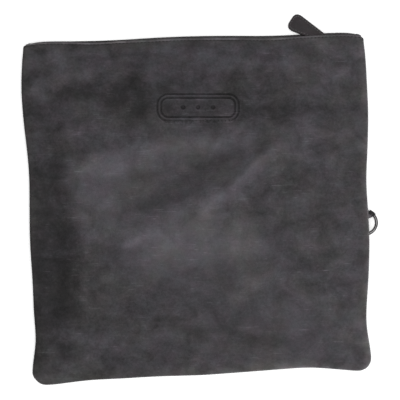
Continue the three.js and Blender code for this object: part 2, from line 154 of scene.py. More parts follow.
class Nodes:
    def __init__(self, name):
        self.material = bpy.data.materials.new(name)
        self.material.use_nodes = True
        self.tree = self.material.node_tree
        self.shader = self.tree.nodes["Principled BSDF"]
        self.place = self.add("ShaderNodeTexCoord").outputs["Object"]

    def add(self, kind, **settings):
        node = self.tree.nodes.new(kind)
        for key, value in settings.items():
            setattr(node, key, value)
        return node

    def join(self, value, socket):
        if isinstance(value, bpy.types.NodeSocket):
            self.tree.links.new(value, socket)
        else:
            socket.default_value = value

    def math(self, operation, a, b=0.0):
        node = self.add("ShaderNodeMath", operation=operation)
        self.join(a, node.inputs[0])
        self.join(b, node.inputs[1])
        return node.outputs[0]

    def turned(self, scale=(1, 1, 1), angle=0.0, shift=(0, 0, 0)):
        node = self.add("ShaderNodeMapping", vector_type="POINT")
        self.join(self.place, node.inputs["Vector"])
        node.inputs["Location"].default_value = shift
        node.inputs["Rotation"].default_value = (0, 0, math.radians(angle))
        node.inputs["Scale"].default_value = scale
        return node.outputs["Vector"]

    def noise(self, scale, detail=2.0, rough=0.5, vector=None, distortion=0.0):
        node = self.add("ShaderNodeTexNoise")
        self.join(vector or self.place, node.inputs["Vector"])
        node.inputs["Scale"].default_value = scale
        node.inputs["Detail"].default_value = detail
        node.inputs["Roughness"].default_value = rough
        node.inputs["Distortion"].default_value = distortion
        return node.outputs["Fac"]

    def attribute(self, name):
        return self.add("ShaderNodeAttribute", attribute_name=name).outputs["Fac"]

    def range(self, value, low, high, toLow=0.0, toHigh=1.0):
        node = self.add("ShaderNodeMapRange", clamp=True)
        self.join(value, node.inputs["Value"])
        limits = {"From Min": low, "From Max": high, "To Min": toLow, "To Max": toHigh}
        for key, number in limits.items():
            node.inputs[key].default_value = number
        return node.outputs["Result"]

    def ramp(self, value, stops):
        node = self.add("ShaderNodeValToRGB")
        self.join(value, node.inputs["Fac"])
        elements = node.color_ramp.elements
        while len(elements) < len(stops):
            elements.new(0.5)
        for element, (place, colour) in zip(elements, stops):
            element.position = place
            element.color = (*colour, 1)
        return node.outputs["Color"]

    # a tone that follows a distance, from rows of distance and tone
    def profile(self, distance, rows):
        reach = rows[-1][0]
        stops = [(far / reach, [tone + 0.5] * 3) for far, tone in rows]
        return self.math("SUBTRACT", self.ramp(self.math("DIVIDE", distance, reach), stops), 0.5)

    def mix(self, share, a, b, blend="MIX"):
        node = self.add("ShaderNodeMix", data_type="RGBA", blend_type=blend)
        self.join(share, node.inputs["Factor"])
        self.join(a if isinstance(a, bpy.types.NodeSocket) else (*a, 1), node.inputs[6])
        self.join(b if isinstance(b, bpy.types.NodeSocket) else (*b, 1), node.inputs[7])
        return node.outputs[2]

    def bump(self, height, distance, strength=1.0, under=None):
        node = self.add("ShaderNodeBump")
        self.join(height, node.inputs["Height"])
        node.inputs["Distance"].default_value = distance
        node.inputs["Strength"].default_value = strength
        if under:
            self.join(under, node.inputs["Normal"])
        return node.outputs["Normal"]


washed = {
    "tones": [
        (0.0, (0.0022, 0.0019, 0.0021)),
        (0.2, (0.0120, 0.0109, 0.0119)),
        (0.4, (0.0275, 0.0252, 0.0278)),
        (0.6, (0.0468, 0.0432, 0.0482)),
        (0.8, (0.0706, 0.0656, 0.0740)),
        (1.0, (0.0990, 0.0925, 0.1060)),
    ],
    "olive": (1.0, 1.0, 0.95),
    "plum": (1.01, 0.99, 1.06),
    "rosy": (1.05, 0.97, 1.0),
    "slate": (0.94, 1.03, 1.0),
    "bare": (0.975, 1.0, 0.905),
    "brown": (1.045, 0.98, 0.91),
    "clouds": 0.80, "cloudScale": 46.0,
    "strokes": 0.38, "strokeScale": (38, 90, 60), "strokeAngle": -27,
    "flecks": 0.34, "fleckScale": 430.0,
    "grain": 0.16, "grainScale": 2300.0,
    "scuffs": [  # angle, shift, scale along, strength
        (24, 0.3, 34, 0.3),
        (-58, 1.7, 60, 0.3),
        (75, 4.1, 110, 0.22),
    ],
    "scuffScale": 820,
    # tones that the edges add, by millimetres from the edge: painted shade on the left edge's roll with
    # a thin painted highlight on its crest, painted light on the edges facing the lower right, and along
    # the hem a pale band on the fold and painted shade in the stitch groove
    "leftRimShading": [(0, -0.11), (1.2, -0.05), (2.4, 0.05), (3.8, 0.02), (6.5, -0.02), (11, -0.01), (18, 0)],
    "edgeLightRows": [
        (0, 0.40), (1, 0.35), (2, 0.27), (3, 0.20), (4.5, 0.135),
        (6, 0.07), (7.5, 0.03), (9, 0.01), (14, 0),
    ],
    "hemRows": [
        (0, -0.03), (0.5, 0.22), (1.0, 0.37), (1.9, 0.37),
        (2.3, 0.0), (2.6, -0.18), (3.3, -0.06), (4.5, -0.02),
    ],
    "bareReach": (4.0, 11.0),
    "lumpScale": 60.0, "lumpHeight": 1.3 * mm,
    "cellScale": 210.0, "cellHeight": 0.12 * mm,
    "poreScale": 900.0, "poreHeight": 0.22 * mm,
    "grainHeight": 0.08 * mm,
    "roughness": (0.66, 0.46),  # of the dark and of the pale parts
    "specular": 0.2, "sheen": 0.02, "sheenRoughness": 0.4,
}


def makeLeather(name, values, base, panelEdges=False, dye=(1.0, 1.0, 1.0)):
    n = Nodes(name)
    lively = n.math("SUBTRACT", 1.0, n.attribute("calm"))
    clouds = n.noise(values["cloudScale"], 6.0, 0.62, distortion=0.35)
    stroked = n.turned(values["strokeScale"], values["strokeAngle"], (4, 2, 0))
    strokes = n.noise(1.0, 5.0, 0.6, stroked, 0.3)
    flecks = n.noise(values["fleckScale"], 3.0, 0.7)
    grain = n.noise(values["grainScale"], 2.0, 0.6)
    tone = n.math("ADD", n.attribute("tone"), base)
    for field, key in ((clouds, "clouds"), (strokes, "strokes"), (flecks, "flecks")):
        part = n.math("MULTIPLY", n.math("SUBTRACT", field, 0.5), values[key])
        tone = n.math("ADD", tone, n.math("MULTIPLY", part, lively))
    tone = n.math("ADD", tone, n.math("MULTIPLY", n.math("SUBTRACT", grain, 0.5), values["grain"]))

    # long faint scuffs, only where the clouds are pale
    for angle, shift, along, share in values["scuffs"]:
        stretched = n.turned((along, values["scuffScale"], 60), angle, (shift, shift, 0))
        scuff = n.range(n.noise(1.0, 2.0, 0.5, stretched, 0.5), 0.66, 0.77, 0.0, share)
        tone = n.math("ADD", tone, n.math("MULTIPLY", scuff, n.range(clouds, 0.42, 0.58)))

    if panelEdges:
        patchy = n.range(n.noise(55.0, 3.0, 0.6), 0.36, 0.6, 0.45, 1.25)
        # the edge tones: painted light on the edges facing the lower right, painted shade and a thin
        # painted highlight on the left edge, a pale fold and painted shade in the stitch groove along
        # the hem
        wearAndEdgeLight = n.math("MINIMUM", n.attribute("rightRim"), n.attribute("lowRim"))
        wearAndEdgeLight = n.math("MULTIPLY", n.profile(wearAndEdgeLight, values["edgeLightRows"]), n.attribute("wearAndEdgeLight"))
        rim = n.profile(n.attribute("leftRim"), values["leftRimShading"])
        hem = n.profile(n.attribute("hem"), values["hemRows"])
        hem = n.math("MULTIPLY", hem, n.attribute("hemShare"))
        for part in (wearAndEdgeLight, rim, hem):
            tone = n.math("ADD", tone, n.math("MULTIPLY", part, patchy))
    colour = n.ramp(tone, values["tones"])
    hue = n.range(n.noise(30.0, 4.0, 0.6, n.turned(shift=(3, 5, 1))), 0.38, 0.56)
    colour = n.mix(1.0, colour, n.mix(hue, values["olive"], values["plum"]), "MULTIPLY")
    tint = n.range(n.noise(75.0, 4.0, 0.65, n.turned(shift=(7, 1, 4))), 0.36, 0.64)
    colour = n.mix(1.0, colour, n.mix(tint, values["slate"], values["rosy"]), "MULTIPLY")
    colour = n.mix(1.0, colour, dye, "MULTIPLY")
    if panelEdges:
        near = n.math("MINIMUM", n.attribute("rightRim"), n.attribute("lowRim"))
        near = n.math("MINIMUM", near, n.attribute("leftRim"))
        near = n.range(n.math("MINIMUM", near, n.attribute("hem")), *values["bareReach"], 1.0, 0.0)
        colour = n.mix(1.0, colour, n.mix(near, (1, 1, 1), values["bare"]), "MULTIPLY")

    creases = n.add("ShaderNodeTexVoronoi", feature="DISTANCE_TO_EDGE")
    n.join(n.turned((1.0, 1.35, 1.0), 20), creases.inputs["Vector"])
    creases.inputs["Scale"].default_value = values["cellScale"]
    cells = n.range(creases.outputs["Distance"], 0.0, 0.14)
    height = n.bump(n.noise(values["lumpScale"], 3.0, 0.55), values["lumpHeight"], 0.5)
    height = n.bump(cells, values["cellHeight"], 0.25, height)
    height = n.bump(n.noise(values["poreScale"], 3.0, 0.65), values["poreHeight"], 0.5, height)
    height = n.bump(grain, values["grainHeight"], 0.5, height)
    n.join(height, n.shader.inputs["Normal"])
    n.join(colour, n.shader.inputs["Base Color"])
    n.join(n.range(tone, 0.2, 0.85, *values["roughness"]), n.shader.inputs["Roughness"])
    n.shader.inputs["Specular IOR Level"].default_value = values["specular"]
    n.shader.inputs["Sheen Weight"].default_value = values["sheen"]
    n.shader.inputs["Sheen Roughness"].default_value = values["sheenRoughness"]
    return n.material


def makeMetal(name, colour, roughness):
    n = Nodes(name)
    brushed = n.noise(700.0, 3.0, 0.6)
    wearAndEdgeLight = n.range(n.noise(180.0), 0.35, 0.7)
    n.join(n.mix(wearAndEdgeLight, colour, [part * 0.6 for part in colour]), n.shader.inputs["Base Color"])
    gloss = n.range(brushed, 0.3, 0.7, roughness - 0.06, roughness + 0.1)
    n.join(gloss, n.shader.inputs["Roughness"])
    n.join(n.bump(brushed, 0.03 * mm, 0.3), n.shader.inputs["Normal"])
    n.shader.inputs["Metallic"].default_value = 1.0
    return n.material


def makeCloth(name, colour, pitch):
    n = Nodes(name)
    waves = []
    for direction in ("X", "Z"):
        wave = n.add("ShaderNodeTexWave", wave_type="BANDS", bands_direction=direction)
        n.join(n.place, wave.inputs["Vector"])
        wave.inputs["Scale"].default_value = 0.3 / pitch
        waves.append(wave.outputs["Fac"])
    weave = n.math("MULTIPLY", waves[0], waves[1])
    n.join(n.mix(weave, [part * 0.5 for part in colour], colour), n.shader.inputs["Base Color"])
    n.join(n.bump(weave, 0.15 * mm, 0.7), n.shader.inputs["Normal"])
    n.shader.inputs["Roughness"].default_value = 0.9
    n.shader.inputs["Sheen Weight"].default_value = 0.1
    return n.material


def makePaint(name, dark, light, gloss, shine=0.25):
    n = Nodes(name)
    speck = n.noise(1500.0, 3.0, 0.6)
    n.join(n.mix(speck, dark, light), n.shader.inputs["Base Color"])
    n.join(n.bump(speck, 0.06 * mm, 0.5), n.shader.inputs["Normal"])
    n.shader.inputs["Roughness"].default_value = gloss
    n.shader.inputs["Specular IOR Level"].default_value = shine
    return n.material


panelLeather = makeLeather("washed leather", washed, 0.432, True)
loopLeather = makeLeather("loop leather", washed, 0.34)
pullLeather = makeLeather("pull leather", washed, 0.35, dye=washed["brown"])
paintedEdge = makePaint("painted edge", (0.003, 0.003, 0.003), (0.008, 0.0078, 0.008), 0.5, 0.1)
thread = makePaint("waxed thread", (0.004, 0.004, 0.004), (0.014, 0.013, 0.013), 0.6)
pullThread = makePaint("grey thread", (0.045, 0.044, 0.044), (0.085, 0.082, 0.083), 0.6)
tapeCloth = makeCloth("zip tape", (0.012, 0.012, 0.013), 0.8 * mm)
darkNickel = makeMetal("dark nickel", (0.086, 0.084, 0.085), 0.26)
toothMetal = makeMetal("zip teeth", (0.10, 0.10, 0.105), 0.34)
print("materials made")


# panels

panel = {
    "sharp": 62,
    "foldZone": 14 * mm, "foldLength": 4 * mm, "foldRound": 1.05 * mm,
    "cutRound": 0.4 * mm, "pocketMargin": 4 * mm,
    "levels": 2,
    "underside": -0.7, "plain": 20.0,
    "waves": [(0.045, 0.45 * mm), (0.02, 0.16 * mm)],  # length and height
    "waveRim": (4 * mm, 14 * mm), "waveHem": (6 * mm, 20 * mm), "waveLayer": 3.7,
    "strays": [(0.028, 5 * mm), (0.009, 2 * mm)],
    "strayLayers": (5.2, 9.6, 2.4),
    "refined": {"x": 10 * mm, "y": 20 * mm, "width": 200 * mm, "height": 120 * mm, "cuts": 1},
    "puckerPitch": 9 * mm, "puckerDepth": 0.3 * mm, "puckerReach": 9 * mm,
    "puckerAcross": 18 * mm, "puckerHem": (0.0, 12 * mm), "puckerLayer": 8.1,
}

# where the edge tones along the hem and the sides set in, and how strong they are there; the sides' tone
# is painted light, strongest on the right and lower right
edgeTones = {
    "hemLeft": (-90 * mm, 50 * mm), "hemMiddle": (60 * mm, 40 * mm), "hemRight": (70 * mm, 40 * mm),
    "hemDip": 1.25, "hemStart": -0.45,
    "hemShare": 1.2, "hemLeftLoss": 0.25, "hemRightLoss": 0.45,
    "across": (-80 * mm, 180 * mm), "leftShare": 0.3, "rightGain": 0.95,
    "up": (-90 * mm, 60 * mm), "upLoss": 0.33,
}

# paler and darker parts of the washed leather, in millimetres, partly the leather's own mottling and
# partly painted light and shade: painted sheen where the surface faces the overhead light, painted shade
# on the slopes down to the left edge and beside the diagonal ridge, a painted highlight along the
# ridge's crest. flat gives a patch a firm border
mottleAndShadePatches = [
    {"x": -134, "y": -26, "long": 25, "wide": 87, "slant": 4, "tone": -0.25, "flat": 3},
    {"x": -128, "y": 52, "long": 17, "wide": 13, "slant": 0, "tone": -0.13, "flat": 1},
    {"x": -136, "y": -50, "long": 12, "wide": 16, "slant": 0, "tone": -0.05, "flat": 1},
    {"x": -130, "y": -99, "long": 14, "wide": 13, "slant": 0, "tone": -0.05, "flat": 1},
    {"x": -134, "y": 8, "long": 17, "wide": 12, "slant": 0, "tone": 0.16, "flat": 1},
    {"x": -98, "y": -60, "long": 19, "wide": 24, "slant": 0, "tone": -0.09, "flat": 1},
    {"x": -140, "y": 80, "long": 26, "wide": 30, "slant": 0, "tone": -0.06, "flat": 1.5},
    {"x": -98, "y": 83, "long": 36, "wide": 14, "slant": 0, "tone": -0.03, "flat": 1},
    {"x": -155, "y": 140, "long": 12, "wide": 17, "slant": 0, "tone": -0.10, "flat": 1},
    {"x": -118, "y": 107, "long": 37, "wide": 9, "slant": 23, "tone": -0.22, "flat": 1},
    {"x": -136, "y": 119, "long": 22, "wide": 7, "slant": 18, "tone": 0.13, "flat": 1},
    {"x": -68, "y": 102, "long": 19, "wide": 18, "slant": 0, "tone": -0.24, "flat": 1},
    {"x": -48, "y": 114, "long": 22, "wide": 12, "slant": 0, "tone": -0.14, "flat": 1},
    {"x": 14, "y": 98, "long": 64, "wide": 20, "slant": 1, "tone": -0.20, "flat": 1.5},
    {"x": 22, "y": 81, "long": 17, "wide": 9, "slant": 0, "tone": -0.1, "flat": 1},
    {"x": 66, "y": 117, "long": 10, "wide": 8, "slant": 0, "tone": -0.07, "flat": 1},
    {"x": 80, "y": 90, "long": 26, "wide": 10, "slant": 0, "tone": -0.13, "flat": 1},
    {"x": 126, "y": 94, "long": 28, "wide": 12, "slant": 0, "tone": -0.15, "flat": 1},
    {"x": 146, "y": 36, "long": 18, "wide": 18, "slant": 0, "tone": -0.12, "flat": 1},
    {"x": -72, "y": 45, "long": 52, "wide": 12, "slant": 13, "tone": 0.19, "flat": 1.3},
    {"x": 20, "y": 62, "long": 44, "wide": 9, "slant": 7, "tone": 0.15, "flat": 1},
    {"x": -92, "y": 24, "long": 25, "wide": 24, "slant": 0, "tone": 0.13, "flat": 1.6},
    {"x": -86, "y": -10, "long": 28, "wide": 20, "slant": 0, "tone": 0.08, "flat": 1.5},
    {"x": -74, "y": -23, "long": 22, "wide": 12, "slant": 0, "tone": 0.06, "flat": 1},
    {"x": -5, "y": 30, "long": 68, "wide": 10, "slant": 28.7, "tone": -0.13, "flat": 1},
    {"x": 16, "y": 26, "long": 21, "wide": 10, "slant": 25, "tone": -0.08, "flat": 1},
    {"x": -42, "y": 6, "long": 19, "wide": 8, "slant": 25, "tone": -0.05, "flat": 1},
    {"x": 68, "y": 74, "long": 28, "wide": 9, "slant": 22, "tone": -0.09, "flat": 1},
    {"x": 42, "y": 26, "long": 54, "wide": 5, "slant": 41, "tone": 0.19, "flat": 1},
    {"x": 11, "y": 0, "long": 17, "wide": 8, "slant": 40, "tone": 0.13, "flat": 1},
    {"x": 52, "y": 36, "long": 30, "wide": 9, "slant": 39, "tone": 0.06, "flat": 1},
    {"x": 76, "y": 15, "long": 21, "wide": 14, "slant": 0, "tone": -0.13, "flat": 1},
    {"x": 2, "y": -30, "long": 63, "wide": 23, "slant": 0, "tone": 0.16, "flat": 2},
    {"x": -22, "y": -25, "long": 27, "wide": 15, "slant": 0, "tone": 0.05, "flat": 1},
    {"x": 48, "y": -34, "long": 18, "wide": 15, "slant": 0, "tone": 0.05, "flat": 1},
    {"x": -57, "y": -32, "long": 9, "wide": 6, "slant": 10, "tone": 0.24, "flat": 1},
    {"x": -80, "y": -30, "long": 26, "wide": 2.6, "slant": -10, "tone": 0.06, "flat": 1},
    {"x": -40, "y": -58, "long": 19, "wide": 12, "slant": 0, "tone": 0.06, "flat": 1},
    {"x": -36, "y": -98, "long": 20, "wide": 10, "slant": 0, "tone": -0.13, "flat": 1},
    {"x": 14, "y": -83, "long": 22, "wide": 9, "slant": 0, "tone": -0.14, "flat": 1},
    {"x": -65, "y": -86, "long": 13, "wide": 13, "slant": 0, "tone": -0.07, "flat": 1},
    {"x": -70, "y": -94, "long": 36, "wide": 34, "slant": 0, "tone": -0.06, "flat": 1.5},
    {"x": 5, "y": -106, "long": 20, "wide": 10, "slant": 0, "tone": -0.06, "flat": 1},
    {"x": 54, "y": -68, "long": 29, "wide": 9, "slant": 34, "tone": 0.14, "flat": 1},
    {"x": -90, "y": -130, "long": 25, "wide": 6, "slant": 47, "tone": 0.09, "flat": 1},
    {"x": -113, "y": -128, "long": 25, "wide": 8, "slant": 45, "tone": -0.09, "flat": 1},
    {"x": -138, "y": -136, "long": 26, "wide": 22, "slant": 0, "tone": -0.16, "flat": 1},
    {"x": 45, "y": -120, "long": 42, "wide": 7, "slant": -9, "tone": -0.14, "flat": 1},
    {"x": 105, "y": -98, "long": 40, "wide": 36, "slant": 0, "tone": 0.01, "flat": 1.5},
    {"x": 106, "y": -128, "long": 18, "wide": 12, "slant": 0, "tone": 0.05, "flat": 1},
    {"x": 152, "y": -108, "long": 8, "wide": 9, "slant": 0, "tone": 0.22, "flat": 1},
    {"x": 104, "y": -8, "long": 36, "wide": 30, "slant": 0, "tone": -0.03, "flat": 1},
    {"x": 102, "y": -55, "long": 25, "wide": 16, "slant": 0, "tone": -0.1, "flat": 1},
    {"x": 26, "y": 137, "long": 19, "wide": 9, "slant": 0, "tone": 0.13, "flat": 1},
    {"x": 135, "y": 121, "long": 16, "wide": 9, "slant": 4, "tone": 0.2, "flat": 1},
    {"x": 94, "y": 136, "long": 15, "wide": 9, "slant": 0, "tone": 0.21, "flat": 1},
    {"x": 134, "y": 138, "long": 12, "wide": 8, "slant": 0, "tone": -0.13, "flat": 1},
    {"x": -20, "y": 140, "long": 120, "wide": 14, "slant": 1, "tone": -0.03, "flat": 1.5},
    {"x": -163, "y": 112, "long": 6, "wide": 34, "slant": 3, "tone": -0.08, "flat": 1.5},
    {"x": -156, "y": -108, "long": 13, "wide": 34, "slant": 0, "tone": -0.09, "flat": 2},
    {"x": -150, "y": -92, "long": 14, "wide": 17, "slant": 0, "tone": -0.09, "flat": 1},
    {"x": -112, "y": -100, "long": 30, "wide": 11, "slant": 0, "tone": -0.09, "flat": 1},
    {"x": -117, "y": 152, "long": 10, "wide": 8, "slant": 0, "tone": -0.1, "flat": 1},
    {"x": -80, "y": 121, "long": 9, "wide": 9, "slant": 0, "tone": 0.13, "flat": 1},
    {"x": -63, "y": 65, "long": 12, "wide": 7, "slant": 10, "tone": -0.1, "flat": 1},
    {"x": -80, "y": -9, "long": 10, "wide": 9, "slant": 0, "tone": 0.08, "flat": 1},
    {"x": 2, "y": 3, "long": 44, "wide": 11, "slant": 12, "tone": 0.06, "flat": 1.5},
    {"x": 18, "y": -27, "long": 13, "wide": 8, "slant": 0, "tone": -0.06, "flat": 1},
    {"x": -36, "y": -138, "long": 58, "wide": 14, "slant": 2, "tone": -0.09, "flat": 1.5},
    {"x": -72, "y": -146, "long": 22, "wide": 10, "slant": 2, "tone": -0.03, "flat": 1},
    {"x": 134, "y": -149, "long": 17, "wide": 10, "slant": 0, "tone": -0.20, "flat": 1},
    {"x": 68, "y": -151, "long": 31, "wide": 8, "slant": 0, "tone": 0.07, "flat": 1},
    {"x": 100, "y": -98, "long": 16, "wide": 8, "slant": 0, "tone": -0.07, "flat": 1},
    {"x": 58, "y": 153, "long": 28, "wide": 6, "slant": 0, "tone": -0.07, "flat": 1},
    {"x": 160, "y": -5, "long": 3.6, "wide": 11, "slant": 3, "tone": 0.3, "flat": 1},
    {"x": -152, "y": -13, "long": 9, "wide": 22, "slant": 0, "tone": 0.1, "flat": 1},
    {"x": -98, "y": 118, "long": 10, "wide": 6, "slant": 15, "tone": -0.09, "flat": 1},
    {"x": 28, "y": 36, "long": 10, "wide": 12, "slant": 0, "tone": 0.09, "flat": 1},
    {"x": 86, "y": -117, "long": 17, "wide": 8, "slant": 0, "tone": 0.09, "flat": 1},
    {"x": 118, "y": -82, "long": 9, "wide": 8, "slant": 0, "tone": 0.07, "flat": 1},
    {"x": 155, "y": -154, "long": 9, "wide": 8, "slant": 0, "tone": 0.09, "flat": 1},
    {"x": 146, "y": 157, "long": 16, "wide": 5, "slant": 0, "tone": 0.05, "flat": 1},
]

# parts where the mottling is weaker
calmParts = [
    {"x": -40, "y": 30, "long": 100, "wide": 34, "slant": 14, "calm": 0.34, "flat": 2},
    {"x": 0, "y": -38, "long": 80, "wide": 40, "slant": 0, "calm": 0.34, "flat": 2},
    {"x": 70, "y": -115, "long": 90, "wide": 36, "slant": 0, "calm": 0.24, "flat": 2},
]

# narrow creases and the ridges beside them, in millimetres
creases = [
    {"x": 43, "y": 30, "long": 52, "wide": 4.5, "slant": 42, "height": 1.0},
    {"x": 34, "y": 38, "long": 50, "wide": 6, "slant": 41, "height": -0.6},
    {"x": -80, "y": -30, "long": 26, "wide": 4, "slant": -10, "height": 0.5},
    {"x": -30, "y": 6, "long": 40, "wide": 5, "slant": 30, "height": -0.5},
    {"x": 62, "y": 52, "long": 34, "wide": 5, "slant": 30, "height": 0.5},
]

# dark is painted shade in the pressed lines; pale is a painted highlight just below them, shifted down
# by below
tooling = {
    "x": 2 * mm, "y": 95 * mm,
    "width": 76 * mm, "height": 25 * mm, "corner": 10 * mm,
    "step": 7 * mm, "line": 1.2 * mm, "depth": 0.9 * mm, "dark": -0.16, "pale": 0.13, "below": 1.5 * mm,
    "dots": (0.0, 14 * mm), "dot": 2.4 * mm,
    "margin": 3 * mm, "cuts": 7,
}


# how far a place is from the middle of a slanted patch: 1 at its border
def spreadOf(patch, place):
    turn = math.radians(patch["slant"])
    dx, dy = place.x / mm - patch["x"], place.y / mm - patch["y"]
    along = (dx * math.cos(turn) + dy * math.sin(turn)) / patch["long"]
    off = (dy * math.cos(turn) - dx * math.sin(turn)) / patch["wide"]
    return along * along + off * off


def shareOf(patch, place):
    return math.exp(-(spreadOf(patch, place) ** patch["flat"]))


# the patches' borders wander a little
def strayed(place):
    shift = Vector()
    for length, size in panel["strays"]:
        x, y = place.x / length, place.y / length
        shift += size * Vector([noise.noise((x, y, layer)) for layer in panel["strayLayers"]])
    return place + shift


# the front's tone: the patches' mottling with their painted light and shade, painted shade in the
# pressed lines and a painted highlight below them
def toneAt(place):
    spot = strayed(place)
    tone = sum(patch["tone"] * shareOf(patch, spot) for patch in mottleAndShadePatches)
    pressed = pressedAt(place.x, place.y)
    pale = tooling["pale"] * pressedAt(place.x, place.y + tooling["below"])
    return tone + tooling["dark"] * pressed + pale * (1 - pressed)


def calmAt(place):
    return sum(part["calm"] * shareOf(part, place) for part in calmParts)


# how far the hem's stitched line lies below its usual place, in millimetres
def hemShift(x):
    return edgeTones["hemDip"] * (rise(x, edgeTones["hemLeft"]) - rise(x, edgeTones["hemMiddle"])) + edgeTones["hemStart"]


def hemShareAt(x):
    leftLoss = edgeTones["hemLeftLoss"] * rise(x, edgeTones["hemLeft"])
    return edgeTones["hemShare"] - leftLoss - edgeTones["hemRightLoss"] * rise(x, edgeTones["hemRight"])


# painted light on the edges facing the lower right: strongest on the right and lower right, less toward
# the top
def edgeLightAt(place):
    along = edgeTones["leftShare"] + edgeTones["rightGain"] * rise(place.x, edgeTones["across"])
    return along * (1 - edgeTones["upLoss"] * rise(place.y, edgeTones["up"]))


def creaseAt(place):
    return sum(c["height"] * mm * math.exp(-spreadOf(c, place)) for c in creases)


# two nested rounded frames and a row of dots, as a share of the full depth
def pressedAt(x, y):
    x, y = abs(x - tooling["x"]), abs(y - tooling["y"])
    pressed = 0.0
    for inset in (0.0, tooling["step"]):
        corner = tooling["corner"] - inset / 2
        overX = max(x - (tooling["width"] - inset) / 2 + corner, 0.0)
        overY = max(y - (tooling["height"] - inset) / 2 + corner, 0.0)
        away = abs(math.hypot(overX, overY) - corner)
        if overX == 0 or overY == 0:
            away = abs(max(overX, overY) - corner)
        pressed = max(pressed, 1 - smooth(away / tooling["line"]))
    for at in tooling["dots"]:
        pressed = max(pressed, 1 - smooth(math.hypot(x - at, y) / tooling["dot"] * 2 - 1))
    return pressed


# the outermost places of a panel on one side, as a line over the other coordinate
def edgeLine(piece, along, across, sign, bins=70):
    places = [v.co for v in piece.data.vertices]
    low, high = min(p[along] for p in places), max(p[along] for p in places)
    best = [None] * (bins + 2)
    for place in places:
        slot = round((place[along] - low) / (high - low) * bins)
        value = sign * place[across]
        if best[slot] is None or value > best[slot]:
            best[slot] = value
    for slot in range(1, bins + 2):
        if best[slot] is None:
            best[slot] = best[slot - 1]

    def at(value):
        share = min(max((value - low) / (high - low), 0.0), 1.0) * bins
        slot = int(share)
        return sign * (best[slot] + (best[slot + 1] - best[slot]) * (share - slot))

    return at


def makePanel(node, name, outward):
    bm = copyOfNode(node)
    top = max(v.co.y for v in bm.verts)
    low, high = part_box("ring_loop")
    low, high = Vector(low), Vector(high)
    margin = panel["pocketMargin"]

    # the edges round the loop's tongue are too short to be rounded
    def inPocket(place):
        return low.x - margin < place.x < high.x and low.y - margin < place.y < high.y + margin

    sharp = [e for e in sharpEdges(bm, panel["sharp"]) if not any(inPocket(v.co) for v in e.verts)]
    folded = [e for e in sharp if all(v.co.y > top - panel["foldZone"] for v in e.verts)]
    folded = [e for e in folded if abs(e.verts[0].co.x - e.verts[1].co.x) > panel["foldLength"]]
    cut = [e for e in sharp if e not in folded]
    roundEdges(bm, folded, panel["foldRound"], 3)
    cut = [e for e in cut if e.is_valid]
    roundEdges(bm, cut, panel["cutRound"], 2)
    piece = addPiece(bm, name, [panelLeather], node)
    subdivide(piece, panel["levels"])
    lines = {
        "leftRim": edgeLine(piece, 1, 0, -1),
        "rightRim": edgeLine(piece, 1, 0, 1),
        "lowRim": edgeLine(piece, 0, 1, -1),
        "hem": edgeLine(piece, 0, 1, 1),
    }

    # an underside of long flat faces is plain all over: its edge tones, painted light and shade, are on
    # the rounding beside it
    def inside(distance, normal):
        return panel["plain"] if outward < 0 and normal.z < panel["underside"] else distance

    def hemDistance(co):
        return (lines["hem"](co.x) - co.y) / mm - hemShift(co.x)

    addAttribute(piece, "leftRim", lambda co, n: inside((co.x - lines["leftRim"](co.y)) / mm, n))
    addAttribute(piece, "rightRim", lambda co, n: inside((lines["rightRim"](co.y) - co.x) / mm, n))
    addAttribute(piece, "lowRim", lambda co, n: inside((co.y - lines["lowRim"](co.x)) / mm, n))
    addAttribute(piece, "hem", lambda co, n: inside(hemDistance(co), n))
    addAttribute(piece, "hemShare", lambda co, n: hemShareAt(co.x))
    addAttribute(piece, "wearAndEdgeLight", lambda co, n: edgeLightAt(co))
    return piece, lines


# slight waves over the panel and small puckers along its seams
def softWaves(piece, lines):
    for vertex in piece.data.vertices:
        co = vertex.co
        rim = min(co.x - lines["leftRim"](co.y), lines["rightRim"](co.y) - co.x)
        rim = min(rim, co.y - lines["lowRim"](co.x))
        hem = lines["hem"](co.x) - co.y
        inside = rise(rim, panel["waveRim"]) * rise(hem, panel["waveHem"])
        lift = 0.0
        for length, size in panel["waves"]:
            lift += size * noise.noise((co.x / length, co.y / length, panel["waveLayer"]))
        near = 1 - smooth(rim / panel["puckerReach"])
        run = (co.x + co.y) / panel["puckerPitch"]
        ripple = noise.noise((run, rim / panel["puckerAcross"], panel["puckerLayer"]))
        co.z += inside * lift + panel["puckerDepth"] * near * ripple * rise(hem, panel["puckerHem"])


def isNear(place, area, margin=0.0):
    across = abs(place.x - area["x"]) < area["width"] / 2 + margin
    return across and abs(place.y - area["y"]) < area["height"] / 2 + margin


# more faces for the outer skin over one area
def refine(bm, area, margin=0.0):
    faces = [f for f in bm.faces if f.normal.z > 0.5 and isNear(f.calc_center_median(), area, margin)]
    edges = list(dict.fromkeys(e for f in faces for e in f.edges))
    bmesh.ops.subdivide_edges(bm, edges=edges, cuts=area["cuts"], use_grid_fill=True)


# creases and the pressed lines, in the outer skin only
def pressFront(piece):
    bm = bmesh.new()
    bm.from_mesh(piece.data)
    refine(bm, panel["refined"])
    refine(bm, tooling, tooling["margin"])
    bm.normal_update()
    for vertex in bm.verts:
        if vertex.normal.z > 0.5:
            vertex.co.z += creaseAt(vertex.co)
            if isNear(vertex.co, tooling, tooling["margin"]):
                vertex.co.z -= tooling["depth"] * pressedAt(vertex.co.x, vertex.co.y)
    bm.to_mesh(piece.data)
    bm.free()


frontPanel, frontLines = makePanel("front_panel", "frontPanel", 1)
backPanel, backLines = makePanel("back_panel", "backPanel", -1)
softWaves(frontPanel, frontLines)
pressFront(frontPanel)
addAttribute(frontPanel, "tone", lambda co, n: toneAt(co))
addAttribute(frontPanel, "calm", lambda co, n: calmAt(co))
print("panels made", len(frontPanel.data.polygons), len(backPanel.data.polygons))


# topstitching

